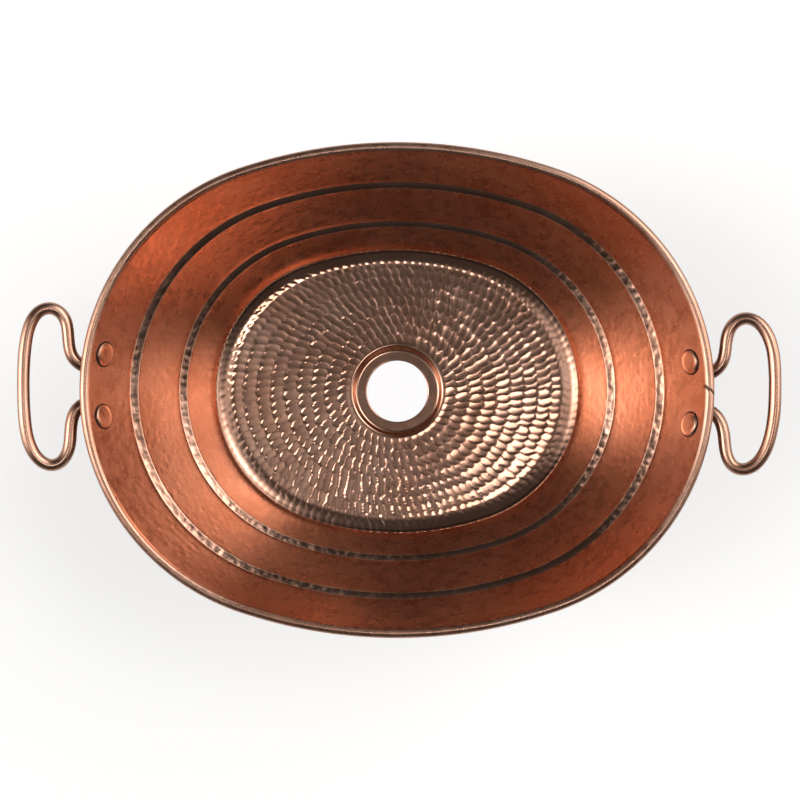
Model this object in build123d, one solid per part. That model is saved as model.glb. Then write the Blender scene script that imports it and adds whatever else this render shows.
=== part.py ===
"""Oval bucket basin in hammered sheet copper, with a rolled rim and two riveted rod handles.

Millimetres, +Z up. The origin is on the drain's axis, at the level of the surface the basin stands
on. X runs along the long axis of the oval, through both handles.

The wall falls from the rolled rim in three leaning bands, parted by two narrow ledges, and its lower
edge is the foot that the basin stands on. The dished floor is a second sheet, brazed inside the wall
just above the foot, with a stepped seat round the drain hole. The rim is curled outwards over a wire.
Each handle is a round rod bent to an omega, with a flat foot at each end. Each foot lies against the
wall under the rim and is held by one rivet, whose flat head is inside the basin.
"""
import math
import os

from build123d import *

# ---- driving dimensions: the sheet metal ----
RIM_LENGTH = 406.4  # over the rolled rim, along X
RIM_WIDTH = 317.5  # over the rolled rim, along Y
HEIGHT = 127.0  # from the surface it stands on to the top of the rim
SHEET = 1.3  # thickness of the copper
ARC_SPLIT = 71.4  # where the oval's end arcs meet its side arcs, degrees from X
WALL_LEAN = 26.0  # of the wall at the ends of the oval, degrees from vertical

LEDGE_DEPTHS = (41.0, 85.2)  # rim top down to the outer edge of each ledge
LEDGE_WIDTH = 4.7  # of each ledge at the ends of the oval
LEDGE_DROP = 0.6  # of each ledge towards the middle

# ---- driving dimensions: the rolled rim ----
WIRE_RADIUS = 2.0
WIRE_CLEARANCE = 0.1  # between the wire and the sheet curled over it
WIRE_GAP = 2.0  # between the two ends of the wire
CURL_TURN = 295.0  # how far the sheet turns round the wire, degrees
SEAM_WIDTH = 0.9  # of the gap where the ends of the curl meet
SEAM_SKEW = 25.0  # of that gap across the rim, degrees

# ---- driving dimensions: the floor and its drain ----
FLOOR_EDGE_RUN = 14.2  # width of the upturned edge at the ends of the oval
FLOOR_EDGE_RISE = 3.5
FLOOR_EDGE_STEPS = 6  # bands that make up the upturned edge
FLOOR_DROP = 0.8  # of the floor from its edge to the drain seat
BRAZE_GAP = 0.1  # between the edge of the floor and the wall
DRAIN_RADIUS = 22.2  # hole for the drain body
SEAT_RADIUS = 29.5  # flat that carries the drain's flange
SEAT_LIP_RADIUS = 33.0  # where the step down to the seat begins
SEAT_DEPTH = 2.6  # floor down to the seat
SEAT_CLEARANCE = 0.3  # underside of the seat above the surface the basin stands on

# ---- driving dimensions: the handles ----
ROD_RADIUS = 3.7
HANDLE_RISE = 11.5  # of the loop, degrees
LEFT_SHIFT = 3.1  # of the left-hand handle along Y, as set by hand
RIGHT_SHIFT = -2.0
ROOT_INSET = 8.3  # rivet to the rod's root, along Y
SHOULDER_OUT = 0.6  # rim's edge out to the first bend, where the rod turns aside
NECK_OUT = 7.5  # first bend out to the second, where the loop begins
NECK_ASIDE = 9.2  # root to the second bend, along Y
THROAT_OUT = 5.9  # second bend out to the loop's inner corner
LEFT_THROAT_ASIDE = 29.7  # second bend to the end of the left-hand loop, along Y
RIGHT_THROAT_ASIDE = 28.3
LEFT_GRIP_OUT = 23.2  # left-hand loop's inner corner out to the middle of its grip
RIGHT_GRIP_OUT = 26.4
GRIP_BOW = 2.6  # how far the middle of a grip stands out past its ends
ROOT_BEND = 8.0
NECK_BEND = 20.0
INNER_BEND = 9.4
END_STRAIGHT = 1.4  # of the loop's end, between its inner and outer bends
GRIP_BEND = 420.0
KNUCKLE_RADIUS = 5.4  # of the swelling inside the first bend
KNUCKLE_THICKNESS = 5.0
KNUCKLE_ASIDE = 6.2  # root to the middle of the swelling, along Y

FOOT_THICKNESS = 3.2
FOOT_WIDTH = 12.0
FOOT_TIP = 8.5  # rivet to the foot's outer end
FOOT_HEEL = 13.0  # rivet to the foot's inner end, behind the rod
FOOT_FILLET = 1.0
ROD_SINK = 1.5  # how deep the rod runs into the foot

# ---- driving dimensions: the rivets ----
RIVET_DEPTH = 14.0  # rim top down to the rivet
RIVET_HALF_GAP = 20.4  # handle's centre to each rivet
RIVET_RADIUS = 3.0
RIVET_CLEARANCE = 0.1  # between the shank and its hole
HEAD_RADIUS = 7.6
HEAD_THICKNESS = 1.6
TAIL_RADIUS = 4.4
TAIL_HEIGHT = 1.6
SEAT_GAP = 0.05  # between faces that a rivet clenches together

REACH_PAST = 8.0  # how far a cutter runs past what it cuts

# ---- values worked out from them ----
ASPECT = RIM_LENGTH / RIM_WIDTH
LEAN_SIN = math.sin(math.radians(WALL_LEAN))
LEAN_COS = math.cos(math.radians(WALL_LEAN))
LEAN_TAN = math.tan(math.radians(WALL_LEAN))
BORE_RADIUS = WIRE_RADIUS + WIRE_CLEARANCE
CURL_RADIUS = BORE_RADIUS + SHEET
WIRE_LENGTH = RIM_LENGTH / 2 - CURL_RADIUS  # half length of the wire's oval
WIRE_WIDTH = RIM_WIDTH / 2 - CURL_RADIUS
WIRE_Z = HEIGHT - CURL_RADIUS
SEAT_Z = SEAT_CLEARANCE + SHEET
FLOOR_Z = SEAT_Z + SEAT_DEPTH
CREASE_Z = FLOOR_Z + FLOOR_DROP + FLOOR_EDGE_RISE
ROOT_HALF_GAP = RIVET_HALF_GAP - ROOT_INSET
SHIFT = {"left": LEFT_SHIFT, "right": RIGHT_SHIFT}
THROAT_ASIDE = {"left": LEFT_THROAT_ASIDE, "right": RIGHT_THROAT_ASIDE}
GRIP_OUT = {"left": LEFT_GRIP_OUT, "right": RIGHT_GRIP_OUT}


# ---- ovals and the solids between them ----
def arcs(half_length, half_width):
    """Four arcs of an oval: (centre x, centre y, radius, start angle, turn), in degrees."""
    split = math.radians(ARC_SPLIT)
    spread = (half_length - half_width) / (math.sin(split) + math.cos(split) - 1)
    end = half_length - spread * math.cos(split)
    side = end + spread
    ends = spread * math.cos(split)
    sides = spread * math.sin(split)
    end_turn = 2 * ARC_SPLIT
    side_turn = 180 - end_turn
    return [
        (ends, 0, end, -ARC_SPLIT, end_turn),
        (0, -sides, side, ARC_SPLIT, side_turn),
        (-ends, 0, end, 180 - ARC_SPLIT, end_turn),
        (0, sides, side, 180 + ARC_SPLIT, side_turn),
    ]


def oval(half_length, half_width, z):
    """Closed wire of four arcs at a height. With equal halves it is a circle."""
    edges = [CenterArc((x, y, z), r, start, turn) for x, y, r, start, turn in arcs(half_length, half_width)]
    return Wire(edges)


def stack(rings):
    """Solid through ovals given as (half length, half width, z), with straight sides between them."""
    return Solid.make_loft([oval(*ring) for ring in rings], ruled=True)


def ring_of(section):
    """Solid that a section makes when it is carried round the wire's oval.

    The section is a face in the XY plane: X is the distance outwards from the wire's centre, and Y is
    the height above it.
    """
    pieces = []
    for x, y, radius, start, turn in arcs(WIRE_LENGTH, WIRE_WIDTH):
        angle = math.radians(start)
        outward = (math.cos(angle), math.sin(angle), 0)
        corner = (x + radius * outward[0], y + radius * outward[1], WIRE_Z)
        plane = Plane(origin=corner, x_dir=outward, z_dir=(outward[1], -outward[0], 0))
        pieces.append(revolve(plane * section, Axis((x, y, 0), (0, 0, 1)), turn))
    return pieces[0].fuse(*pieces[1:])


def shifted(rings, distance):
    """The same rings moved sideways off their profile, with mitred corners.

    A positive distance moves to the left of the way from each ring to the next.
    """
    lines = []
    for (x0, _, z0), (x1, _, z1) in zip(rings, rings[1:]):
        run = math.hypot(x1 - x0, z1 - z0)
        lines.append((x0 - (z1 - z0) / run * distance, z0 + (x1 - x0) / run * distance, x1 - x0, z1 - z0))
    ends = [lines[0][:2]]
    for (xa, za, ua, va), (xb, zb, ub, vb) in zip(lines, lines[1:]):
        along = ((xb - xa) * vb - (zb - za) * ub) / (ua * vb - va * ub)
        ends.append((xa + along * ua, za + along * va))
    x, z, u, v = lines[-1]
    ends.append((x + u, z + v))
    return [(x, width + x - length, z) for (length, width, _), (x, z) in zip(rings, ends)]


def between(low, high, z):
    """Ring on the straight side through two rings, at a height that may lie past either."""
    share = (z - low[2]) / (high[2] - low[2])
    return tuple(a + share * (b - a) for a, b in zip(low, high))


# ---- the wall ----
def wall_rings():
    """Inner face of the wall, from above the rim down past the foot."""
    top = (WIRE_LENGTH - CURL_RADIUS * LEAN_COS, WIRE_WIDTH - CURL_RADIUS * LEAN_COS,
           WIRE_Z + CURL_RADIUS * LEAN_SIN)
    rings = []
    x, z = top[0], top[2]
    for depth in LEDGE_DEPTHS:
        ledge_z = HEIGHT - depth
        x -= (z - ledge_z) * LEAN_TAN
        rings.append((x, x / ASPECT, ledge_z))
        x -= LEDGE_WIDTH
        z = ledge_z - LEDGE_DROP
        rings.append((x, x / ASPECT, z))
    x -= (z + REACH_PAST) * LEAN_TAN
    rings.append((x, x / ASPECT, -REACH_PAST))
    return [between(rings[0], top, top[2] + REACH_PAST), *rings]


def tub(distance):
    """The space inside the wall, grown by a distance all round."""
    return stack(shifted(wall_rings(), distance) if distance else wall_rings())


def sheet_curl():
    """Sheet turned over the wire, from the top of the wall round to just short of its outer face."""
    start = 180 - WALL_LEAN
    opening = [(start - CURL_TURN) + step * (CURL_TURN - 360) / 2 for step in (0, 1, 2)]
    far = 4 * CURL_RADIUS
    corners = [(far * math.cos(math.radians(a)), far * math.sin(math.radians(a))) for a in opening]
    wedge = make_face(Polyline((0, 0), *corners, close=True))
    curl = ring_of(Circle(CURL_RADIUS) - Circle(BORE_RADIUS) - wedge)
    seam = Rot(0, 0, SEAM_SKEW) * Box(4 * CURL_RADIUS, SEAM_WIDTH, CURL_RADIUS,
                                      align=(Align.CENTER, Align.CENTER, Align.MIN))
    return curl - Pos(WIRE_LENGTH, 0, WIRE_Z) * seam


def above_the_wall():
    """Cutter that trims the wall square to its slope, at the middle of the wire."""
    reach = 4 * CURL_RADIUS
    edge = (-reach * LEAN_COS, reach * LEAN_SIN)
    top = 2 * REACH_PAST
    return ring_of(make_face(Polyline((0, 0), edge, (edge[0], top), (reach, top), (reach, 0), close=True)))


def make_tub_wall():
    """The stepped wall with its curled rim, holed for the rivets."""
    under = Box(2 * RIM_LENGTH, 2 * RIM_WIDTH, 2 * REACH_PAST, align=(Align.CENTER, Align.CENTER, Align.MAX))
    wall = tub(SHEET) - tub(0) - above_the_wall() - under
    wall += sheet_curl()
    for side in SHIFT:
        for away in (-1, 1):
            wall -= handed(rivet_bore(side, away), side)
    return wall


def make_rim_wire():
    """The wire inside the curl. Its ends meet at the end of the oval away from the curl's seam."""
    gap = Pos(-WIRE_LENGTH, 0, WIRE_Z) * Box(4 * CURL_RADIUS, WIRE_GAP, 4 * CURL_RADIUS)
    return ring_of(Circle(WIRE_RADIUS)) - gap


# ---- the floor ----
def floor_rings():
    """Top of the floor, from the drain hole out to past the wall."""
    rings = [
        (DRAIN_RADIUS, DRAIN_RADIUS, SEAT_Z),
        (SEAT_RADIUS, SEAT_RADIUS, SEAT_Z),
        (SEAT_LIP_RADIUS, SEAT_LIP_RADIUS, FLOOR_Z),
    ]
    crease = between(wall_rings()[-1], wall_rings()[-2], CREASE_Z)[0]
    upturn = 2 * math.atan(FLOOR_EDGE_RISE / FLOOR_EDGE_RUN)
    radius = FLOOR_EDGE_RUN / math.sin(upturn)
    for step in range(FLOOR_EDGE_STEPS + 1):
        angle = upturn * step / FLOOR_EDGE_STEPS
        x = crease - FLOOR_EDGE_RUN + radius * math.sin(angle)
        rings.append((x, x / ASPECT, CREASE_Z - FLOOR_EDGE_RISE + radius * (1 - math.cos(angle))))
    past = between(rings[-2], rings[-1], CREASE_Z + REACH_PAST / 2)
    return [*rings[:-1], past]


def make_floor_pan():
    """The dished floor with its drain seat, its edge following the wall."""
    top = floor_rings()
    under = shifted(top, -SHEET)
    length, width, z = top[-1]
    lid = (length, width, z + REACH_PAST)
    plug = Cylinder(DRAIN_RADIUS, 2 * REACH_PAST)
    # The first ring of each is left out, so that the seat is one flat face round the hole.
    blank = stack(under[1:]) - stack([*top[1:], lid])
    return (blank - plug) & tub(-BRAZE_GAP)


# ---- places on the wall ----
def handed(piece, side):
    """A piece made for the right-hand end, mirrored if it belongs at the left."""
    return piece.mirror(Plane.YZ) if side == "left" else piece


def wall_plane(y, distance):
    """Plane on the wall at the rivets' height: Z points out of the wall, X is level."""
    rings = wall_rings()
    z = HEIGHT - RIVET_DEPTH
    here = between(rings[1], rings[0], z)
    above = between(rings[1], rings[0], z + 1)
    (x, _, radius, _, _), (x_above, _, radius_above, _, _) = arcs(*here[:2])[0], arcs(*above[:2])[0]
    angle = math.asin(y / radius)
    outward = Vector(math.cos(angle), math.sin(angle), 0)
    point = Vector(x, 0, z) + outward * radius
    climb = Vector(x_above, 0, z + 1) + outward * radius_above - point
    level = Vector(0, 0, 1).cross(outward)
    normal = level.cross(climb).normalized()
    return Plane(origin=point + normal * distance, x_dir=level, z_dir=normal)


def rivet_y(side, away):
    """Y of a rivet. The side away is 1 towards +Y and -1 towards -Y."""
    return SHIFT[side] + away * RIVET_HALF_GAP


def rivet_bore(side, away):
    """Cutter for a rivet's hole, at the right-hand end."""
    return wall_plane(rivet_y(side, away), 0) * Cylinder(RIVET_RADIUS + RIVET_CLEARANCE, 2 * REACH_PAST)


# ---- the handles ----
def loop_plane(side):
    """Plane of a handle's loop. X runs out from the root and Y along the basin's Y."""
    rise = math.radians(HANDLE_RISE)
    foot = wall_plane(0, SHEET + FOOT_THICKNESS).origin
    origin = (foot.X, SHIFT[side], HEIGHT - RIVET_DEPTH)
    return Plane(origin=origin, x_dir=(math.cos(rise), 0, math.sin(rise)),
                 z_dir=(-math.sin(rise), 0, math.cos(rise)))


def past_rim(side, out):
    """Distance along the loop's plane that lies above a distance out from the rim's edge."""
    return (RIM_LENGTH / 2 + out - loop_plane(side).origin.X) / math.cos(math.radians(HANDLE_RISE))


def handle_rod(side):
    """The bent rod, from inside one foot round to inside the other."""
    neck_out = SHOULDER_OUT + NECK_OUT
    throat_out = neck_out + THROAT_OUT
    grip_out = throat_out + GRIP_OUT[side]
    neck = past_rim(side, neck_out)
    throat = past_rim(side, throat_out)
    corner = past_rim(side, grip_out - GRIP_BOW)
    middle = past_rim(side, grip_out)
    neck_aside = ROOT_HALF_GAP + NECK_ASIDE
    height = neck_aside + THROAT_ASIDE[side]
    half = [
        (-ROD_SINK, ROOT_HALF_GAP),
        (past_rim(side, SHOULDER_OUT), ROOT_HALF_GAP),
        (neck, neck_aside),
        (throat, height),
        (corner, height),
    ]
    points = [*half, (middle, 0), *[(u, -v) for u, v in reversed(half)]]
    # The outer bend takes what the inner one and the straight between them leave of the loop's end.
    inner_turn = math.atan2(height - neck_aside, throat - neck)
    outer_turn = math.atan2(height, middle - corner)
    room = corner - throat - END_STRAIGHT - INNER_BEND * math.tan(inner_turn / 2)
    bends = [ROOT_BEND, NECK_BEND, INNER_BEND, room / math.tan(outer_turn / 2)]
    path = loop_plane(side) * FilletPolyline(*points, radius=[*bends, GRIP_BEND, *bends[::-1]])
    return sweep(Plane(origin=path @ 0, z_dir=path % 0) * Circle(ROD_RADIUS), path=path)


def knuckle(side, away):
    """Swelling inside the rod's first bend."""
    place = Pos(past_rim(side, SHOULDER_OUT), away * (ROOT_HALF_GAP + KNUCKLE_ASIDE))
    blank = Cylinder(KNUCKLE_RADIUS, KNUCKLE_THICKNESS)
    return loop_plane(side) * (place * fillet(blank.edges(), KNUCKLE_THICKNESS / 3))


def foot(side, away):
    """Flat foot on the wall, cut to the wall's curve."""
    plane = wall_plane(rivet_y(side, away), SHEET)
    outline = Pos(away * (FOOT_TIP - FOOT_HEEL) / 2, 0) * SlotOverall(FOOT_TIP + FOOT_HEEL, FOOT_WIDTH)
    blank = extrude(Pos(0, 0, -SHEET) * outline, FOOT_THICKNESS + SHEET)
    return plane * fillet(blank.faces().sort_by(Axis.Z)[-1].edges(), FOOT_FILLET)


def make_handle(side):
    """One handle: the rod, its two knuckles and its two holed feet."""
    body = handle_rod(side)
    for away in (-1, 1):
        body += knuckle(side, away)
        body += foot(side, away)
    body -= tub(SHEET + SEAT_GAP)
    for away in (-1, 1):
        body -= rivet_bore(side, away)
    return handed(body, side)


# ---- the rivets ----
def make_rivet(side, away):
    """One rivet: a flat head that follows the wall, a shank, and a domed tail on the foot."""
    low = (Align.CENTER, Align.CENTER, Align.MIN)
    grip = SHEET + FOOT_THICKNESS + SEAT_GAP
    head = Pos(0, 0, -HEAD_THICKNESS) * Cylinder(HEAD_RADIUS, HEAD_THICKNESS + SHEET / 2, align=low)
    head = fillet(head.edges().sort_by(Axis.Z)[0], HEAD_THICKNESS / 3)
    shank = Pos(0, 0, -HEAD_THICKNESS / 2) * Cylinder(RIVET_RADIUS, grip + HEAD_THICKNESS, align=low)
    dome = (TAIL_RADIUS**2 + TAIL_HEIGHT**2) / (2 * TAIL_HEIGHT)
    ball = Pos(0, 0, grip + TAIL_HEIGHT - dome) * Sphere(dome)
    tail = ball & (Pos(0, 0, grip) * Box(4 * dome, 4 * dome, 2 * TAIL_HEIGHT, align=low))
    plane = wall_plane(rivet_y(side, away), 0)
    return handed((plane * head) & tub(-SEAT_GAP), side) + handed(plane * (shank + tail), side)


# ---- the parts ----
def main():
    """Writes one STEP file for each piece."""
    os.makedirs("parts", exist_ok=True)
    pieces = {
        "tub_wall": make_tub_wall(),
        "floor_pan": make_floor_pan(),
        "rim_wire": make_rim_wire(),
    }
    for side in SHIFT:
        pieces[f"handle_{side}"] = make_handle(side)
        for name, away in (("front", -1), ("back", 1)):
            pieces[f"rivet_{side}_{name}"] = make_rivet(side, away)
    for name, piece in pieces.items():
        piece.label = name
        export_step(piece, f"parts/{name}.step")


main()
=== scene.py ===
"""Oval bucket basin in hammered copper: its visual model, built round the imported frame.

Everything is in metres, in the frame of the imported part: the origin is on the drain's axis at the
level the basin stands on, +X runs through the right-hand handle and +Z is up. The wall with its
rolled rim and the floor are drawn up here from single rings, so that the hammer marks are real
dents. The handles are drawn out along their bends, and one turned rivet is copied to its four
seats. The rim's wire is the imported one, with its own finish.
"""

import logging
import math
from dataclasses import dataclass
from enum import Enum
from typing import Any

import bmesh
import bpy
import numpy as np
from mathutils import Matrix, Vector
from mathutils.kdtree import KDTree


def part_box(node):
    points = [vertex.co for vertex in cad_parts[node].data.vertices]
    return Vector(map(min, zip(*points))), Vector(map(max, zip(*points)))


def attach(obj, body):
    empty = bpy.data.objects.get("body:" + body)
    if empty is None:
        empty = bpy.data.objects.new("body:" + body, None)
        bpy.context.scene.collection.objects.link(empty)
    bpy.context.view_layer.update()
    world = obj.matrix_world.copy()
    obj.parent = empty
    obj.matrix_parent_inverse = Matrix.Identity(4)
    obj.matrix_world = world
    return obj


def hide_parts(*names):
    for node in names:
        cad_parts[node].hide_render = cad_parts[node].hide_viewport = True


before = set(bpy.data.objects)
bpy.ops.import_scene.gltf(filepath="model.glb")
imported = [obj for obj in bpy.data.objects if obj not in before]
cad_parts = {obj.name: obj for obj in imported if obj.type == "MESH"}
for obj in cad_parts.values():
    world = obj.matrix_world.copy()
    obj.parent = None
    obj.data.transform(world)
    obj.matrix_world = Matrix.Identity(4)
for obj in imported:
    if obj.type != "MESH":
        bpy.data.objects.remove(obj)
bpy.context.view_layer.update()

log = logging.getLogger("basin")

MM = 0.001
ROOT = "root"
ARC_SPLIT = math.radians(71.4)  # where an oval's end arc gives way to its side arc
EASE_LIMIT = 0.45  # the most of a straight that the arc at one end of it takes up
SAME_STATION = 1e-7
CREASE = math.radians(50)  # the sharpest edge that still looks smooth on a bar
RIVET_HEIGHT = 113 * MM  # where the rivets go through the wall

# What each point of a piece carries while it is made and dressed.
SHARE = "share"
STATION = "station"
# The dark layer holds soot, and shade painted in creases and under the rim.
SOOT_AND_SHADE = "tarnish"
BLOW = "blow"

Profile = list[tuple[float, float]]
Blow = tuple[np.ndarray, np.ndarray]  # where it falls, and the way out from the middle


# ---- ovals ----
@dataclass(frozen=True)
class Ring:
    """One level oval of the sheet metal, made of four arcs."""

    half_length: float
    half_width: float
    height: float

    def spread(self) -> float:
        """How far apart the centres of an end arc and a side arc lie."""
        return (self.half_length - self.half_width) / (math.sin(ARC_SPLIT) + math.cos(ARC_SPLIT) - 1)

    def bend(self) -> float:
        """The radius of the end arcs."""
        return self.half_length - self.spread() * math.cos(ARC_SPLIT)

    def points(self, shares: np.ndarray) -> np.ndarray:
        """Places on the ring.

        Args:
            shares: Shares of the way round, from +X towards +Y.

        Returns:
            One point a row, in metres.
        """
        spread = self.spread()
        end = self.bend()
        side = end + spread
        quarter = end * ARC_SPLIT + side * (math.pi / 2 - ARC_SPLIT)
        turns = 4 * np.mod(shares, 1.0)
        which = np.floor(turns).astype(int)
        run = turns - which
        run = np.where(which % 2 == 1, 1 - run, run) * quarter
        on_end = run < end * ARC_SPLIT
        angle = np.where(on_end, run / end, ARC_SPLIT + (run - end * ARC_SPLIT) / side)
        radius = np.where(on_end, end, side)
        x = np.where(on_end, spread * math.cos(ARC_SPLIT), 0.0) + radius * np.cos(angle)
        y = np.where(on_end, 0.0, -spread * math.sin(ARC_SPLIT)) + radius * np.sin(angle)
        x = np.where((which == 1) | (which == 2), -x, x)
        y = np.where(which >= 2, -y, y)
        return np.column_stack([x, y, np.full(len(x), self.height)])

    def reach(self, across: float) -> float:
        """How far out the end of the ring is, at a distance across it."""
        end = self.bend()
        return self.spread() * math.cos(ARC_SPLIT) + math.sqrt(end * end - across * across)

    def perimeter(self) -> float:
        """The length of the ring."""
        end = self.bend()
        return 4 * (end * ARC_SPLIT + (end + self.spread()) * (math.pi / 2 - ARC_SPLIT))

    def toward(self, other: "Ring", share: float) -> "Ring":
        """The ring part of the way to another.

        Args:
            other: The ring at a share of 1.
            share: How much of the way to go.

        Returns:
            The ring in between.
        """
        return Ring(
            self.half_length + share * (other.half_length - self.half_length),
            self.half_width + share * (other.half_width - self.half_width),
            self.height + share * (other.height - self.height),
        )

    def away(self, other: "Ring") -> float:
        """The distance to another ring, measured at the end of the oval."""
        return math.hypot(other.half_length - self.half_length, other.height - self.height)


def eased(line: Profile, radius: float, steps: int) -> Profile:
    """Rounds the corners of a profile.

    Args:
        line: The corners, as (distance out, height).
        radius: Of every corner, in metres.
        steps: How many straights make up each corner.

    Returns:
        The profile with its inner corners replaced by short arcs.
    """
    out = [line[0]]
    for before, corner, after in zip(line, line[1:], line[2:]):
        back = Vector(before) - Vector(corner)
        ahead = Vector(after) - Vector(corner)
        turn = math.pi - back.angle(ahead)
        reach = min(radius * math.tan(turn / 2), EASE_LIMIT * back.length, EASE_LIMIT * ahead.length)
        first = Vector(corner) + back.normalized() * reach
        last = Vector(corner) + ahead.normalized() * reach
        for step in range(steps + 1):
            t = step / steps
            spot = (1 - t) ** 2 * first + 2 * t * (1 - t) * Vector(corner) + t * t * last
            out.append((spot.x, spot.y))
    out.append(line[-1])
    return out


def offset(line: Profile, distance: float) -> Profile:
    """Moves a profile to the left of its way, with mitred corners.

    Args:
        line: The corners, as (distance out, height).
        distance: How far to move it, in metres.

    Returns:
        The moved profile.
    """
    moved = []
    for (x0, z0), (x1, z1) in zip(line, line[1:]):
        run = math.hypot(x1 - x0, z1 - z0)
        moved.append((x0 - (z1 - z0) / run * distance, z0 + (x1 - x0) / run * distance, x1 - x0, z1 - z0))
    out = [moved[0][:2]]
    for (xa, za, ua, va), (xb, zb, ub, vb) in zip(moved, moved[1:]):
        along = ((xb - xa) * vb - (zb - za) * ub) / (ua * vb - va * ub)
        out.append((xa + along * ua, za + along * va))
    x, z, u, v = moved[-1]
    out.append((x + u, z + v))
    return out


# ---- drawing sheet metal up from a ring ----
class Skin:
    """A skin of sheet metal, drawn out ring by ring from one circle."""

    def __init__(self, name: str, shares: np.ndarray, first: Ring) -> None:
        """Starts the skin.

        Args:
            name: Of the finished object.
            shares: Where the columns of points stand, as shares of the way round.
            first: The ring that the skin starts from.
        """
        bpy.ops.object.select_all(action="DESELECT")
        bpy.ops.mesh.primitive_circle_add(vertices=len(shares), radius=first.half_length)
        self.object = bpy.context.object
        self.object.name = self.object.data.name = name
        self.rings = [first]
        self.stations = [0.0]
        bpy.ops.object.mode_set(mode="EDIT")
        bpy.ops.mesh.select_mode(type="VERT")
        bpy.ops.mesh.select_all(action="SELECT")
        net = bmesh.from_edit_mesh(self.object.data)
        share = net.verts.layers.float.new(SHARE)
        net.verts.layers.float.new(STATION)
        net.verts.ensure_lookup_table()
        for number, vert in enumerate(net.verts):
            vert[share] = shares[number]
        self._true_up(first, 0.0)

    def _true_up(self, ring: Ring, station: float) -> None:
        """Sets the selected points exactly on a ring.

        Args:
            ring: Where they go.
            station: How far along the skin that is, which they note.
        """
        net = bmesh.from_edit_mesh(self.object.data)
        share = net.verts.layers.float[SHARE]
        along = net.verts.layers.float[STATION]
        chosen = [vert for vert in net.verts if vert.select]
        for vert, spot in zip(chosen, ring.points(np.array([vert[share] for vert in chosen]))):
            vert.co = spot
            vert[along] = station
        bmesh.update_edit_mesh(self.object.data)

    def draw(self, ring: Ring) -> None:
        """Extrudes the open edge to the next ring.

        Args:
            ring: Where the edge goes.
        """
        last = self.rings[-1]
        rise = (0, 0, ring.height - last.height)
        grow = (ring.half_length / last.half_length, ring.half_width / last.half_width, 1)
        bpy.ops.mesh.extrude_edges_move(TRANSFORM_OT_translate={"value": rise})
        bpy.ops.transform.resize(value=grow, center_override=(0, 0, 0))
        self.rings.append(ring)
        self.stations.append(self.stations[-1] + last.away(ring))
        self._true_up(ring, self.stations[-1])

    def _between(self, low: float, high: float) -> int:
        """Selects the edges that run from one station to another.

        Args:
            low: The first station.
            high: The second station.

        Returns:
            How many edges there are.
        """
        net = bmesh.from_edit_mesh(self.object.data)
        along = net.verts.layers.float[STATION]
        bpy.ops.mesh.select_all(action="DESELECT")
        bpy.ops.mesh.select_mode(type="EDGE")
        count = 0
        for edge in net.edges:
            a, b = sorted(vert[along] for vert in edge.verts)
            if abs(a - low) < SAME_STATION and abs(b - high) < SAME_STATION:
                edge.select = True
                count += 1
        net.select_flush_mode()
        bmesh.update_edit_mesh(self.object.data)
        return count

    def subdivide(self, spacing: float, start: int = 0, stop: int | None = None) -> None:
        """Cuts the straights between rings into shorter ones.

        Args:
            spacing: The longest distance wanted between rows of points, in metres.
            start: The first ring of the stretch.
            stop: The last ring of the stretch.
        """
        stations = self.stations[start : None if stop is None else stop + 1]
        for low, high in zip(stations, stations[1:]):
            cuts = math.ceil((high - low) / spacing) - 1
            if cuts > 0 and self._between(low, high):
                bpy.ops.mesh.subdivide(number_cuts=cuts)

    def close(self) -> None:
        """Bridges the two open edges, so that the skin has no way in."""
        bpy.ops.mesh.select_mode(type="EDGE")
        bpy.ops.mesh.select_all(action="DESELECT")
        bpy.ops.mesh.select_non_manifold(extend=False, use_wire=False, use_multi_face=False,
                                         use_non_contiguous=False, use_verts=False)
        bpy.ops.mesh.bridge_edge_loops()
        bpy.ops.mesh.select_all(action="SELECT")
        bpy.ops.mesh.normals_make_consistent(inside=False)

    def leave(self) -> bpy.types.Object:
        """Goes back to object mode.

        Returns:
            The object, with smooth faces.
        """
        bpy.ops.object.mode_set(mode="OBJECT")
        bpy.ops.object.shade_smooth()
        return self.object


# ---- drawing solid copper out along a line ----
@dataclass(frozen=True)
class Slice:
    """One oval slice across a bar: its middle, its two half axes and how dark it is, with soot and painted
    shade.
    """

    middle: Vector
    side: Vector
    up: Vector
    soot_and_shade_tone: float = 0.0


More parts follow.
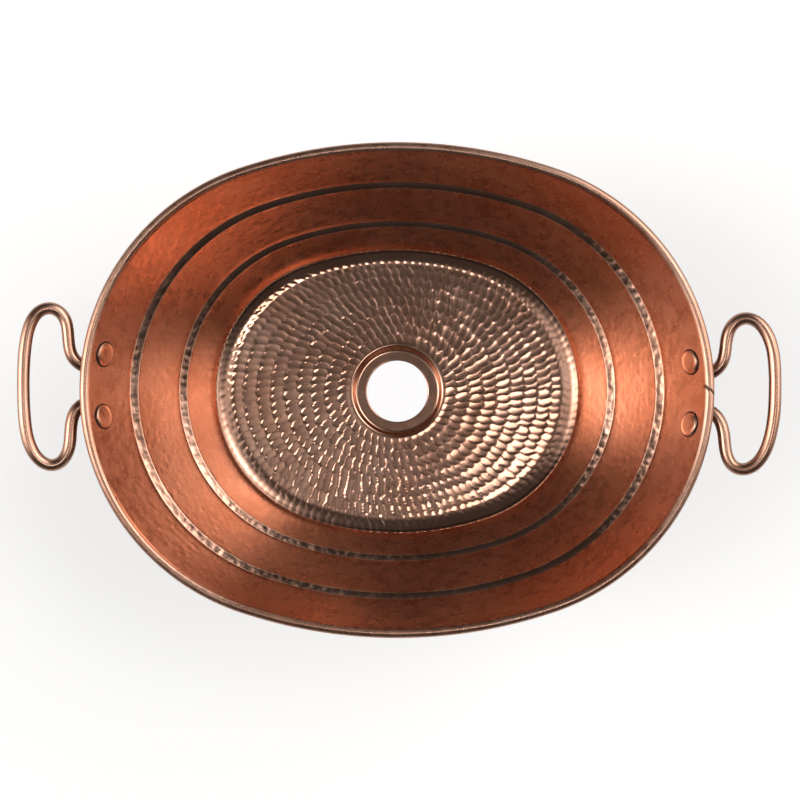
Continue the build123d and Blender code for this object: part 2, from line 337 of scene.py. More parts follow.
class Bar:
    """A bar of solid copper, drawn out slice by slice from one circle."""

    def __init__(self, name: str, first: Slice, around: int) -> None:
        """Starts the bar.

        Args:
            name: Of the finished object.
            first: The slice that the bar starts from.
            around: How many points go round each slice.
        """
        bpy.ops.object.select_all(action="DESELECT")
        bpy.ops.mesh.primitive_circle_add(vertices=around, radius=first.side.length)
        self.object = bpy.context.object
        self.object.name = self.object.data.name = name
        bpy.ops.object.mode_set(mode="EDIT")
        bpy.ops.mesh.select_mode(type="VERT")
        bpy.ops.mesh.select_all(action="SELECT")
        net = bmesh.from_edit_mesh(self.object.data)
        net.verts.layers.float.new(SHARE)
        net.verts.layers.float.new(SOOT_AND_SHADE)
        net.verts.ensure_lookup_table()
        for number, vert in enumerate(net.verts):
            vert[net.verts.layers.float[SHARE]] = number / around
        self.last = first
        self._true_up(first)

    def _true_up(self, slice_: Slice) -> None:
        """Sets the selected points exactly on a slice.

        Args:
            slice_: Where they go.
        """
        net = bmesh.from_edit_mesh(self.object.data)
        share, soot_and_shade_tone = net.verts.layers.float[SHARE], net.verts.layers.float[SOOT_AND_SHADE]
        for vert in net.verts:
            if vert.select:
                turn = 2 * math.pi * vert[share]
                vert.co = slice_.middle + math.cos(turn) * slice_.side + math.sin(turn) * slice_.up
                vert[soot_and_shade_tone] = slice_.soot_and_shade_tone
        bmesh.update_edit_mesh(self.object.data)

    def draw(self, slice_: Slice) -> None:
        """Extrudes the open edge to the next slice.

        Args:
            slice_: Where the edge goes.
        """
        step = slice_.middle - self.last.middle
        bpy.ops.mesh.extrude_edges_move(TRANSFORM_OT_translate={"value": step})
        self._true_up(slice_)
        self.last = slice_

    def leave(self) -> bpy.types.Object:
        """Closes both ends and goes back to object mode.

        Returns:
            The object, with smooth faces.
        """
        bpy.ops.mesh.select_all(action="SELECT")
        bpy.ops.mesh.fill_holes(sides=0)
        bpy.ops.mesh.select_all(action="SELECT")
        bpy.ops.mesh.normals_make_consistent(inside=False)
        bpy.ops.object.mode_set(mode="OBJECT")
        bpy.ops.object.shade_smooth_by_angle(angle=CREASE)
        return self.object


# ---- striking it ----
class Plate:
    """The points of a finished skin, for moving them by hand."""

    def __init__(self, thing: bpy.types.Object) -> None:
        """Reads the places, normals and stations of the points.

        Args:
            thing: The finished skin.
        """
        self.mesh = thing.data
        count = len(self.mesh.vertices)
        self.spots = np.empty(3 * count)
        self.normals = np.empty(3 * count)
        self.mesh.vertices.foreach_get("co", self.spots)
        self.mesh.vertices.foreach_get("normal", self.normals)
        self.spots = self.spots.reshape(-1, 3)
        self.normals = self.normals.reshape(-1, 3)
        self.station = np.empty(count)
        self.mesh.attributes[STATION].data.foreach_get("value", self.station)
        self.rise = np.zeros(count)
        # How dark each point is: soot, and painted shade.
        self.tarnish = np.zeros(count)
        self.blow = np.zeros(count)
        self.outer = np.zeros(count, dtype=bool)

    def settle(self) -> None:
        """Moves each point along its normal by its rise, and stores the marks for the finish."""
        self.spots += self.normals * self.rise[:, None]
        self.mesh.vertices.foreach_set("co", self.spots.ravel())
        for name, values in ((SOOT_AND_SHADE, self.tarnish), (BLOW, self.blow)):
            layer = self.mesh.attributes.new(name, "FLOAT", "POINT")
            layer.data.foreach_set("value", np.clip(values, 0, 1))
        self.mesh.update()


@dataclass(frozen=True)
class Hammer:
    """A hammer's face and how it is swung. Lengths are half sizes, in metres."""

    reach: float
    breadth: float
    depth: float
    lean: float = 0.0  # of the mark's long axis from the way out, in radians
    heel: float = 0.0  # share of the depth by which the trailing side is deeper
    toe: float = 0.0  # share of the depth by which the outer end is deeper
    wander: float = 0.0  # of each blow from its place along the row, as a share of the spacing
    stray: float = 0.0  # of each blow from its row, in metres
    sway: float = 0.0  # share of the depth by which each blow tips its own way
    soft: bool = False  # whether the marks fade at their edges and add up, as under a planishing hammer
    size_spread: float = 0.08  # by which the marks differ in size, as a share
    turn_spread: float = 0.06  # by which they are turned, in radians
    depth_spread: float = 0.15  # by which they differ in depth, as a share
    edge: float = 0.5  # share of the depth that is left at a mark's edge

    def strike(self, plate: Plate, chosen: np.ndarray, blows: list[Blow], dice: np.random.Generator) -> None:
        """Strikes the blows in order, so that the last one in each place is the one that shows.

        Args:
            plate: The points that are struck.
            chosen: The numbers of the points that the hammer may move.
            blows: In the order in which they fall.
            dice: Where the unevenness comes from.
        """
        tree = KDTree(len(chosen))
        for number in chosen:
            tree.insert(plate.spots[number], int(number))
        tree.balance()
        for place, out in blows:
            size = dice.uniform(1 - self.size_spread, 1 + self.size_spread)
            turn = self.lean + dice.normal(0, self.turn_spread)
            found = [number for _, number, _ in tree.find_range(place, self.reach * size)]
            if not found:
                continue
            found = np.array(found)
            normal = plate.normals[found].mean(axis=0)
            normal /= np.linalg.norm(normal)
            out = out - normal * (out @ normal)
            out /= np.linalg.norm(out)
            aside = np.cross(normal, out)
            along = math.cos(turn) * out + math.sin(turn) * aside
            across = math.cos(turn) * aside - math.sin(turn) * out
            away = plate.spots[found] - place
            u = away @ along / (self.reach * size)
            v = away @ across / (self.breadth * size)
            inside = u * u + v * v < 1
            if not inside.any():
                continue
            found, u, v = found[inside], u[inside], v[inside]
            depth = self.depth * dice.uniform(1 - self.depth_spread, 1 + self.depth_spread)
            heel = self.heel + dice.normal(0, self.sway)
            toe = self.toe + dice.normal(0, self.sway)
            if self.soft:
                plate.rise[found] -= depth * (1 - u * u - v * v) ** 2
                continue
            bowl = 1 - (1 - self.edge) * (u * u + v * v)
            plate.rise[found] = -depth * (bowl - heel * v + toe * u)
            # Each mark carries a number of its own, for telling one from the next.
            plate.blow[found] = dice.uniform(0, 1)


# ---- finishes ----
def linear(hex_colour: str) -> tuple[float, float, float, float]:
    """Turns an sRGB hex colour into linear RGBA."""
    parts = [int(hex_colour[i : i + 2], 16) / 255 for i in (1, 3, 5)]
    return tuple(c / 12.92 if c <= 0.04045 else ((c + 0.055) / 1.055) ** 2.4 for c in parts) + (1.0,)


def node(tree: bpy.types.NodeTree, kind: str, inputs: dict[Any, Any] | None = None,
         **settings: Any) -> bpy.types.Node:
    """Adds one node.

    Args:
        tree: The tree that it joins.
        kind: Its type.
        inputs: For each input by name or number, a value or the socket that feeds it.
        **settings: Its own settings.

    Returns:
        The new node.
    """
    made = tree.nodes.new(kind)
    for name, value in settings.items():
        setattr(made, name, value)
    for name, value in (inputs or {}).items():
        if isinstance(value, bpy.types.NodeSocket):
            tree.links.new(value, made.inputs[name])
        else:
            made.inputs[name].default_value = value
    return made


@dataclass(frozen=True)
class Copper:
    """Bare copper, metal all through: a warm mirror, dulled by its grain, and darkened by soot and by painted
    shade.
    """

    name: str
    bright: str = "#F7C1A6"
    aged: str = "#E9AD8F"
    # The dark of soot, and of the shade painted in creases and under the rim.
    soot_and_shade_tone: str = "#2B1A13"
    roughness: float = 0.25
    roughness_swing: float = 0.12
    cloud: float = 40.0  # size of the patches of age, mm
    grain: float = 9.0  # size of the patches of gloss, mm
    crusted: float = 0.6  # soot and painted shade from which a dull crust begins to hide the metal
    crust_roughness: float = 0.35  # what the crust adds
    marked: bool = False  # whether the piece carries the soot-and-shade and blow layers
    burnish: float = 0.0  # roughness that the hardest blows take away

    def relief(self, tree: bpy.types.NodeTree, place: bpy.types.NodeSocket) -> bpy.types.NodeSocket | None:
        """The fine relief of the surface, as a normal, or None for a plain one."""
        return None

    def build(self) -> bpy.types.Material:
        """Makes the material.

        Returns:
            The material, ready for a piece.
        """
        material = bpy.data.materials.new(self.name)
        material.use_nodes = True
        tree = material.node_tree
        tree.nodes.clear()
        place = node(tree, "ShaderNodeTexCoord").outputs["Object"]
        patches = node(tree, "ShaderNodeTexNoise", {"Vector": place, "Scale": 1 / (self.cloud * MM),
                                                   "Detail": 3.0, "Roughness": 0.5})
        share = node(tree, "ShaderNodeMapRange", {"Value": patches.outputs["Fac"], "From Min": 0.35,
                                                  "From Max": 0.7})
        tint = node(tree, "ShaderNodeMix", {0: share.outputs["Result"], 6: linear(self.bright),
                                            7: linear(self.aged)}, data_type="RGBA")
        grain = node(tree, "ShaderNodeTexNoise", {"Vector": place, "Scale": 1 / (self.grain * MM),
                                                 "Detail": 2.0})
        rough = node(tree, "ShaderNodeMapRange", {
            "Value": grain.outputs["Fac"], "From Min": 0.3, "From Max": 0.7,
            "To Min": self.roughness - self.roughness_swing / 2,
            "To Max": self.roughness + self.roughness_swing / 2})
        colour, dullness, metal = tint.outputs[2], rough.outputs["Result"], 1.0
        if self.burnish:
            blow = node(tree, "ShaderNodeAttribute", attribute_name=BLOW).outputs["Fac"]
            dullness = node(tree, "ShaderNodeMath", {0: blow, 1: -self.burnish, 2: dullness},
                            operation="MULTIPLY_ADD").outputs[0]
        if self.marked:
            # Darkens with soot and with painted shade.
            soot_and_shade_share = node(tree, "ShaderNodeAttribute", attribute_name=SOOT_AND_SHADE).outputs["Fac"]
            colour = node(tree, "ShaderNodeMix", {0: soot_and_shade_share, 6: colour, 7: linear(self.soot_and_shade_tone)},
                          data_type="RGBA").outputs[2]
            crust = node(tree, "ShaderNodeMapRange", {"Value": soot_and_shade_share, "From Min": self.crusted})
            dullness = node(tree, "ShaderNodeMath", {0: crust.outputs["Result"], 1: self.crust_roughness,
                                                     2: dullness}, operation="MULTIPLY_ADD").outputs[0]
            metal = node(tree, "ShaderNodeMath", {0: 1.0, 1: crust.outputs["Result"]},
                         operation="SUBTRACT").outputs[0]
        inputs = {"Base Color": colour, "Metallic": metal, "Roughness": dullness}
        relief = self.relief(tree, place)
        if relief:
            inputs["Normal"] = relief
        shader = node(tree, "ShaderNodeBsdfPrincipled", inputs)
        node(tree, "ShaderNodeOutputMaterial", {"Surface": shader.outputs["BSDF"]})
        return material


@dataclass(frozen=True)
class PlanishedCopper(Copper):
    """Planished sheet: hammered nearly smooth, which leaves a satin skin with a faint dapple."""

    dapple: float = 4.5  # distance between the small dapples, mm
    dapple_depth: float = 0.15  # mm
    dapple_patch: float = 90.0  # size of the patches where they are deep, mm
    dapple_least: float = 0.12  # share of the depth that is left between the patches
    streak: float = 2.2  # width of the upright rubbing marks, mm, drawn coarser so that they show
    streak_depth: float = 0.0015  # mm
    streak_stretch: float = 0.12  # width of a rubbing mark over its length
    bite: float = 4.6  # distance between the setting hammer's bites along the ledges, mm
    bite_depth: float = 0.4  # mm

    def relief(self, tree: bpy.types.NodeTree, place: bpy.types.NodeSocket) -> bpy.types.NodeSocket | None:
        """Dapples over upright rubbing marks, and bites along the ledges.

        Args:
            tree: The material's tree.
            place: Where on the piece it is.

        Returns:
            The normal.
        """
        dapples = node(tree, "ShaderNodeTexVoronoi", {"Vector": place, "Scale": 1 / (self.dapple * MM)},
                       feature="SMOOTH_F1")
        patches = node(tree, "ShaderNodeTexNoise", {"Vector": place, "Scale": 1 / (self.dapple_patch * MM),
                                                   "Detail": 1.0})
        share = node(tree, "ShaderNodeMapRange", {"Value": patches.outputs["Fac"], "From Min": 0.42,
                                                  "From Max": 0.62, "To Min": self.dapple_least})
        low = node(tree, "ShaderNodeBump", {"Height": dapples.outputs["Distance"],
                                            "Distance": self.dapple_depth * MM,
                                            "Strength": share.outputs["Result"]})
        tall = node(tree, "ShaderNodeMapping", {"Vector": place, "Scale": (1, 1, self.streak_stretch)})
        streaks = node(tree, "ShaderNodeTexNoise", {"Vector": tall.outputs["Vector"],
                                                   "Scale": 1 / (self.streak * MM), "Detail": 3.0})
        worn = node(tree, "ShaderNodeBump", {"Height": streaks.outputs["Fac"],
                                             "Distance": self.streak_depth * MM,
                                             "Normal": low.outputs["Normal"]})
        bites = node(tree, "ShaderNodeTexNoise", {"Vector": place, "Scale": 1 / (self.bite * MM),
                                                 "Detail": 0.5})
        return node(tree, "ShaderNodeBump", {
            "Height": bites.outputs["Fac"], "Distance": self.bite_depth * MM,
            "Strength": node(tree, "ShaderNodeAttribute", attribute_name=BLOW).outputs["Fac"],
            "Normal": worn.outputs["Normal"]}).outputs["Normal"]


@dataclass(frozen=True)
class StruckCopper(Copper):
    """Floor sheet, struck hard and burnished by the hammer, so each mark is a small bright mirror."""

    # The hammer face's own scratches are finer than this, and are drawn coarser so that they show.
    scratch: float = 0.7  # mm
    scratch_depth: float = 0.004  # mm

    def relief(self, tree: bpy.types.NodeTree, place: bpy.types.NodeSocket) -> bpy.types.NodeSocket | None:
        """The scratches that the hammer's face leaves.

        Args:
            tree: The material's tree.
            place: Where on the piece it is.

        Returns:
            The normal.
        """
        scratches = node(tree, "ShaderNodeTexNoise", {"Vector": place, "Scale": 1 / (self.scratch * MM),
                                                     "Detail": 3.0})
        return node(tree, "ShaderNodeBump", {"Height": scratches.outputs["Fac"],
                                             "Distance": self.scratch_depth * MM}).outputs["Normal"]


@dataclass(frozen=True)
class DrawnCopper(Copper):
    """Drawn rod, bent hot and wiped: smooth, with a fine pitting left by the scale."""

    pit: float = 1.6  # mm, drawn coarser than the real pits so that they show
    pit_depth: float = 0.012  # mm

    def relief(self, tree: bpy.types.NodeTree, place: bpy.types.NodeSocket) -> bpy.types.NodeSocket | None:
        """Fine pitting.

        Args:
            tree: The material's tree.
            place: Where on the piece it is.

        Returns:
            The normal.
        """
        pits = node(tree, "ShaderNodeTexNoise", {"Vector": place, "Scale": 1 / (self.pit * MM),
                                                "Detail": 4.0})
        return node(tree, "ShaderNodeBump", {"Height": pits.outputs["Fac"],
                                             "Distance": self.pit_depth * MM}).outputs["Normal"]


# ---- the wall ----
@dataclass
class Wall:
    """The stepped wall with its rolled rim. Sizes are in metres, and profiles run at the end of the oval."""

    half_length: float = 203.2 * MM
    half_width: float = 158.73 * MM
    height: float = 127.0 * MM
    sheet: float = 1.3 * MM
    lean: float = math.radians(26)
    ledge_depths: tuple[float, ...] = (41.0 * MM, 85.2 * MM)
    ledge_width: float = 4.7 * MM
    ledge_drop: float = 0.6 * MM
    cove: float = 0.6 * MM  # how far each ledge is sunk at its inner edge and swept up at its outer one
    inner_ease: float = 0.5 * MM  # radius of the inner face's corners
    outer_ease: float = 1.4 * MM
    bore: float = 2.1 * MM  # radius inside the roll
    curl_turn: float = math.radians(295)
    curl_steps: int = 26
    bore_steps: int = 11
    columns: int = 560
    wall_row: float = 2.1 * MM  # the rows of points on the inner face
    ledge_row: float = 0.75 * MM
    outer_row: float = 4.6 * MM
    seam_skew: float = math.radians(40)
    seam_half: float = 0.6 * MM  # from the middle of the seam's gap to its edge
    seam_depth: float = 0.4 * MM
    seam_reach: float = 3.8 * MM  # how far round the extra columns beside the seam go
    seam_column: float = 0.4 * MM
    planished_row: float = 6.4 * MM
    planished_step: float = 5.4 * MM
    planished_margin: float = 4.0 * MM
    planisher: Hammer = Hammer(reach=5.2 * MM, breadth=4.2 * MM, depth=0.055 * MM, wander=0.22, soft=True)
    setting_step: float = 2.6 * MM
    setting_band: float = 1.0 * MM  # how far above and below a ledge its dents go
    setter: Hammer = Hammer(reach=1.9 * MM, breadth=2.6 * MM, depth=0.10 * MM, heel=0.2, toe=0.2,
                            wander=0.4, stray=1.2 * MM, sway=0.5)
    ledge_band: float = 0.75 * MM  # how far above and below a ledge its bites and painted shade go
    # Painted shade on the outer half of each ledge.
    ledge_shade: float = 0.15
    corner_shade: float = 0.42  # painted shade along the inner half of each ledge, in its corner
    roll_shade: float = 0.75  # painted shade on the outer face, under the roll
    finish: Copper = PlanishedCopper(
        "hammered_copper_wall", roughness=0.28, roughness_swing=0.10, burnish=0.15, marked=True)

    def __post_init__(self) -> None:
        """Works out where the wire's centre lies."""
        self.curl = self.bore + self.sheet
        self.wire_length = self.half_length - self.curl
        self.wire_width = self.half_width - self.curl
        self.wire_height = self.height - self.curl
        self.aspect = self.half_length / self.half_width

    def inner_line(self) -> Profile:
        """Draws the inner face.

        Returns:
            Its profile, from the foot up to where the curl begins.
        """
        x = self.wire_length - self.curl * math.cos(self.lean)
        z = self.wire_height + self.curl * math.sin(self.lean)
        line = [(x, z)]
        slant = self.cove * math.tan(self.lean)
        for depth in self.ledge_depths:
            level = self.height - depth
            x -= (z - level) * math.tan(self.lean)
            line.append((x + slant, level + self.cove))
            x -= self.ledge_width
            z = level - self.ledge_drop
            line.append((x - slant, z - self.cove))
        line.append((x - z * math.tan(self.lean), 0.0))
        return line[::-1]

    def turn(self, radius: float, start: float, stop: float, steps: int) -> list[Ring]:
        """Draws rings round the wire.

        Args:
            radius: From the middle of the wire.
            start: The first angle, in radians from level outwards.
            stop: The last angle.
            steps: How many steps it takes.

        Returns:
            The rings, in order.
        """
        rings = []
        for step in range(steps + 1):
            angle = start + (stop - start) * step / steps
            out = radius * math.cos(angle)
            rings.append(Ring(self.wire_length + out, self.wire_width + out,
                              self.wire_height + radius * math.sin(angle)))
        return rings

    def ring(self, spot: tuple[float, float]) -> Ring:
        """The inner face's ring through a place on its profile."""
        return Ring(spot[0], spot[0] / self.aspect, spot[1])

    def outer_ring(self, height: float) -> Ring:
        """Finds the outer face between the roll and the first ledge.

        Args:
            height: How far up it is wanted.

        Returns:
            The outer face's ring there.
        """
        x = self.wire_length - self.curl * math.cos(self.lean) + self.sheet / math.cos(self.lean)
        x -= (self.wire_height + self.curl * math.sin(self.lean) - height) * math.tan(self.lean)
        return Ring(x, self._outer_width(x), height)

    def _outer_width(self, half_length: float) -> float:
        """Half width of the outer face, which stays one sheet away from the inner one."""
        return half_length / self.aspect + (1 - 1 / self.aspect) * self.sheet / math.cos(self.lean)

    def _shares(self) -> np.ndarray:
        """The columns of points: evenly round, with more of them beside the seam."""
        uniform = np.arange(self.columns) / self.columns
        reach, step = self.seam_reach / MM, self.seam_column / MM
        extra = np.arange(-reach, reach + step / 2, step) * MM
        extra /= Ring(self.half_length, self.half_width, 0).perimeter()
        return np.sort(np.concatenate([uniform, np.mod(extra, 1.0)]))

    def build(self) -> bpy.types.Object:
        """Draws the wall up, strikes it and dresses it.

        Returns:
            The wall with its rolled rim.
        """
        begin = math.pi - self.lean
        end = begin - self.curl_turn
        inner_line = self.inner_line()
        inner = [self.ring(spot) for spot in eased(inner_line, self.inner_ease, 3)]
        outer_line = offset(inner_line, -self.sheet)
        # The outer face starts level with the inner one.
        outer_line[0] = (inner_line[0][0] + self.sheet / math.cos(self.lean), 0.0)
        outer = [Ring(x, self._outer_width(x), z) for x, z in eased(outer_line, self.outer_ease, 2)[:-1]]
        over = self.turn(self.curl, begin, end, self.curl_steps)[1:]
        under = self.turn(self.bore, end, begin, self.bore_steps)
        skin = Skin("hammered_wall", self._shares(), inner[0])
        for ring in [*inner[1:], *over, *under, *outer[::-1]]:
            skin.draw(ring)
        top = len(inner) - 1
        for start, (low, high) in enumerate(zip(inner, inner[1:])):
            level = abs(low.height - high.height) < abs(low.half_length - high.half_length)
            skin.subdivide(self.ledge_row if level else self.wall_row, start, start + 1)
        skin.subdivide(self.outer_row, top + len(over) + len(under))
        skin.close()
        wall = skin.leave()
        self._dress(wall, skin.stations[: top + 1], inner)
        wall.data.materials.append(self.finish.build())
        return wall

    def _dress(self, wall: bpy.types.Object, stations: list[float], rings: list[Ring]) -> None:
        """Planishes the inner face, paints shade on the ledges and under the roll, and cuts the seam's nick.

        Args:
            wall: The smooth wall.
            stations: How far up the inner face each of its rings is.
            rings: The rings of the inner face.
        """
        plate = Plate(wall)
        dice = np.random.default_rng(11)
        top = stations[-1]
        # Past the top of the roll, the stations belong to the outer face.
        plate.outer = plate.station > top + self.curl * (math.pi / 2 - self.lean)
        inside = np.flatnonzero((plate.station > 1 * MM) & (plate.station < top - 2 * MM)
                                & (plate.normals[:, 2] > 0))
        blows = []
        margin = self.planished_margin
        for row, station in enumerate(np.arange(margin, top - margin, self.planished_row)):
            ring = self._ring_at(station, stations, rings)
            count = int(ring.perimeter() / self.planished_step)
            wander = dice.uniform(-self.planisher.wander, self.planisher.wander, count)
            for spot in ring.points((np.arange(count) + 0.5 * (row % 2) + wander) / count):
                blows.append((spot, np.array([0.0, 0.0, 1.0])))
        self.planisher.strike(plate, inside, blows, dice)
        self._rough_ledges(plate, dice)
        self._age(plate)
        self._nick(plate)
        plate.settle()

    def _ring_at(self, station: float, stations: list[float], rings: list[Ring]) -> Ring:
        """Finds the inner face's ring at a distance up its profile.

        Args:
            station: The distance.
            stations: How far up each ring is.
            rings: The rings.

        Returns:
            The ring there.
        """
        for low, high, a, b in zip(stations, stations[1:], rings, rings[1:]):
            if station <= high:
                return a.toward(b, (station - low) / (high - low))
        return rings[-1]

    def _rough_ledges(self, plate: Plate, dice: np.random.Generator) -> None:
        """Leaves the small uneven dents of the setting hammer along each ledge.

        Args:
            plate: The wall's points.
            dice: Where the unevenness comes from.
        """
        z = plate.spots[:, 2]
        for depth in self.ledge_depths:
            level = self.height - depth
            middle = level - self.ledge_drop / 2
            chosen = np.flatnonzero(~plate.outer & (np.abs(z - middle) < self.setting_band))
            corner = min(self.inner_line(), key=lambda spot: abs(spot[1] - level - self.cove))
            ring = self.ring((corner[0] - self.ledge_width / 2, middle))
            count = int(ring.perimeter() / self.setting_step)
            wander = dice.uniform(-self.setter.wander, self.setter.wander, count)
            blows = []
            for spot in ring.points((np.arange(count) + wander) / count):
                out = np.array([spot[0], spot[1], 0.0])
                out /= np.linalg.norm(out)
                blows.append((spot + out * dice.normal(0, self.setter.stray), out))
            self.setter.strike(plate, chosen, blows, dice)

    def _age(self, plate: Plate) -> None:
        """Paints shade on the ledges and on the outer face from the roll's middle down.

        Args:
            plate: The wall's points.
        """
        z = plate.spots[:, 2]
        # Painted shade on the outer face, from about the roll's middle down.
        fade = 0.3 * self.curl
        low = np.clip((self.wire_height + fade - z) / fade, 0, 1)
        plate.tarnish = np.where(plate.outer, self.roll_shade * low, 0.0)
        plate.blow[:] = 0.0
        # Painted shade on each ledge, darker on its inner half.
        for depth in self.ledge_depths:
            away = z - (self.height - depth) + self.ledge_drop / 2
            on_ledge = ~plate.outer & (np.abs(away) < self.ledge_band)
            plate.blow[on_ledge] = 1.0
            plate.tarnish[on_ledge] = np.where(away[on_ledge] > 0, self.ledge_shade, self.corner_shade)

    def _nick(self, plate: Plate) -> None:
        """Cuts the slanted gap where the two ends of the rolled edge meet.

        Args:
            plate: The wall's points.
        """
        x, y, z = plate.spots.T
        away = (y + (x - self.wire_length) * math.tan(self.seam_skew)) * math.cos(self.seam_skew)
        on_roll = (x > self.wire_length - 4.5 * MM) & (z > self.wire_height + 0.5 * MM)
        depth = np.where(on_roll, np.exp(-(away / self.seam_half) ** 2), 0)
        plate.rise -= self.seam_depth * depth
        plate.tarnish = np.maximum(plate.tarnish, depth)


# ---- the floor ----
@dataclass
class Floor:
    """The dished floor with its drain seat. Sizes are in metres, and profiles run at the end of the oval."""

    crease_length: float = 131.06 * MM
    crease_height: float = 8.43 * MM
    crease_gap: float = 0.15 * MM  # to the wall
    edge_run: float = 14.2 * MM
    edge_rise: float = 3.5 * MM
    edge_steps: int = 8
    field_height: float = 4.2 * MM
    seat_height: float = 1.6 * MM
    hole: float = 22.2 * MM
    seat: float = 29.5 * MM
    lip: float = 33.0 * MM
    sheet: float = 1.3 * MM
    aspect: float = 406.4 / 317.5
    columns: int = 680
    top_row: float = 0.95 * MM  # the rows of points on the upper face
    under_row: float = 9.0 * MM
    rows: int = 10
    blow_spacing: float = 5.4 * MM
    hammer: Hammer = Hammer(reach=5.5 * MM, breadth=3.3 * MM, depth=0.15 * MM, lean=math.radians(15),
                            heel=0.5, toe=0.3, wander=0.08, stray=0.35 * MM, sway=0.14)
    fade: float = 3.0 * MM  # over which the marks fade in at the seat, and the shade painted along the edge runs
    # Painted shade in the crease where the floor meets the wall.
    crease_shade: float = 0.5
    finish: Copper = StruckCopper(
        "scale_hammered_copper_floor", roughness=0.11, roughness_swing=0.04, marked=True)

    def top_rings(self) -> list[Ring]:
        """Draws the upper face.

        Returns:
            Its rings, from the drain hole out to the crease.
        """
        # Each row is the distance out and the height: round the seat, and up over its rolled lip.
        rings = [Ring(out, out, height) for out, height in (
            (self.hole, self.seat_height),
            (self.seat - 0.5 * MM, self.seat_height),
            (self.seat + 0.4 * MM, self.seat_height + 0.15 * MM),
            (self.lip - 0.7 * MM, self.field_height - 0.45 * MM),
            (self.lip, self.field_height - 0.08 * MM),
            (self.lip + 0.8 * MM, self.field_height + 0.01 * MM))]
        turn = 2 * math.atan(self.edge_rise / self.edge_run)
        radius = self.edge_run / math.sin(turn)
        foot = self.crease_height - self.edge_rise
        for step in range(self.edge_steps):
            angle = turn * step / self.edge_steps
            x = self.crease_length - self.edge_run + radius * math.sin(angle)
            rings.append(Ring(x, x / self.aspect, foot + radius * (1 - math.cos(angle))))
        rings.append(Ring(self.crease_length - self.crease_gap,
                          self.crease_length / self.aspect - self.crease_gap, self.crease_height))
        return rings

    def build(self) -> bpy.types.Object:
        """Draws the floor out, strikes it and dresses it.

        Returns:
            The floor with its drain seat.
        """
        top = self.top_rings()
        under = [Ring(ring.half_length + 0.1 * MM, ring.half_width + 0.1 * MM, ring.height - self.sheet)
                 for ring in top]
        skin = Skin("hammered_floor", np.arange(self.columns) / self.columns, top[0])
        for ring in [*top[1:], *under[::-1]]:
            skin.draw(ring)
        edge = len(top) - 1
        skin.subdivide(self.top_row, 0, edge)
        skin.subdivide(self.under_row, edge + 1)
        skin.close()
        floor = skin.leave()
        self._dress(floor, skin.stations[5], skin.stations[edge])
        floor.data.materials.append(self.finish.build())
        return floor

    def _dress(self, floor: bpy.types.Object, start: float, stop: float) -> None:
        """Strikes the rows of marks from the edge in to the seat, and paints shade along the edge, in the
        crease.

        Args:
            floor: The smooth floor.
            start: How far along the skin the lip of the seat ends.
            stop: How far along it the crease is.
        """
        plate = Plate(floor)
        dice = np.random.default_rng(7)
        chosen = np.flatnonzero((plate.station > start) & (plate.station < stop - 0.3 * MM))
        inner = Ring(self.lip + 4.5 * MM, self.lip + 4.5 * MM, self.field_height)
        outer = Ring(self.crease_length - 5 * MM, self.crease_length / self.aspect - 4.2 * MM,
                     self.crease_height - 1.6 * MM)
        blows = []
        for row in reversed(range(self.rows)):
            ring = inner.toward(outer, row / (self.rows - 1))
            count = round(ring.perimeter() / self.blow_spacing)
            shares = (np.arange(count) + dice.uniform(0, 1)
                      + dice.uniform(-self.hammer.wander, self.hammer.wander, count)) / count
            for spot in ring.points(shares):
                out = np.array([spot[0], spot[1] * 1.1, 0.0])
                spot = spot + out / np.linalg.norm(out) * dice.normal(0, self.hammer.stray)
                blows.append((spot, out))
        self.hammer.strike(plate, chosen, blows, dice)
        fade = np.clip((plate.station - start) / self.fade, 0, 1)
        plate.rise *= np.where((plate.station > start) & (plate.station < stop), fade, 1)
        # Painted shade along the crease at the edge.
        rim = (plate.station > stop - self.fade) & (plate.station < stop)
        plate.tarnish[rim] = self.crease_shade
        plate.settle()


# ---- the handles and their rivets ----
class Side(Enum):
    """An end of the basin, as the sign of X."""

    LEFT = -1
    RIGHT = 1


@dataclass(frozen=True)
class Seat:
    """The place on the outer face of the wall where a rivet goes through, and its three directions."""

    middle: Vector
    out: Vector
    along: Vector
    up: Vector

    @classmethod
    def at(cls, side: Side, across: float) -> "Seat":
        """Finds a seat.

        Args:
            side: The end of the basin.
            across: How far across the basin it is, in metres.

        Returns:
            The seat.
        """
        wall = Wall()
        face = wall.outer_ring(RIVET_HEIGHT)
        x = face.reach(across)
        turn = math.asin(across / face.bend())
        level = Vector((side.value * math.cos(turn), math.sin(turn), 0))
        out = level * math.cos(wall.lean) - Vector((0, 0, math.sin(wall.lean)))
        up = level * math.sin(wall.lean) + Vector((0, 0, math.cos(wall.lean)))
        return cls(Vector((side.value * x, across, RIVET_HEIGHT)), out, up.cross(out), up)

    def place(self) -> Matrix:
        """What takes a piece that stands along +Z at the origin to the seat, pointing out."""
        turn = Matrix((self.along, self.up, self.out)).transposed().to_4x4()
        return Matrix.Translation(self.middle) @ turn


